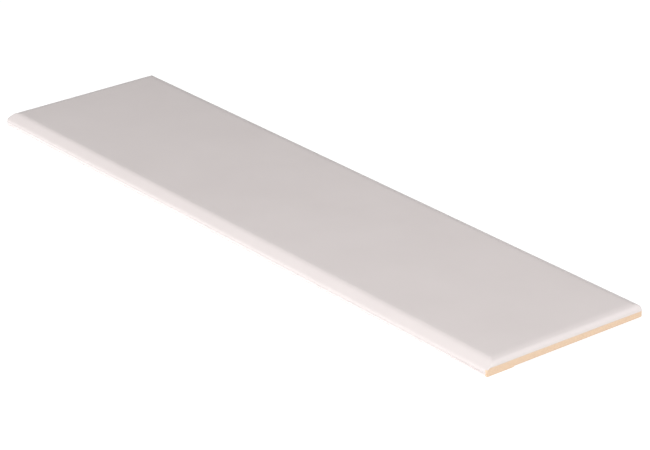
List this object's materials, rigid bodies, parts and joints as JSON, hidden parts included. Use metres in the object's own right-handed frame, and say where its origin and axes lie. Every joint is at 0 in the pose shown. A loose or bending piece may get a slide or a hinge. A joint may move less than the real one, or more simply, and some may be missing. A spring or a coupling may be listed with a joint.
{
  "type": "bullnose tile",
  "caption": "Flat rectangular glazed ceramic wall trim tile with one long edge rounded over as a bullnose and cushioned edges on the other sides.",
  "frame": {"origin": "middle of the footprint, on the plane of the back that the tile lies on", "axes": "+X along the length, +Y from the bullnose edge to the square back edge, +Z out of the glazed face"},
  "size_m": [0.4, 0.1, 0.0072],
  "materials": {
    "glaze": "gloss"
  },
  "bodies": {
    "root": {"bullnose_tile": "glaze"}
  },
  "joints": []
}
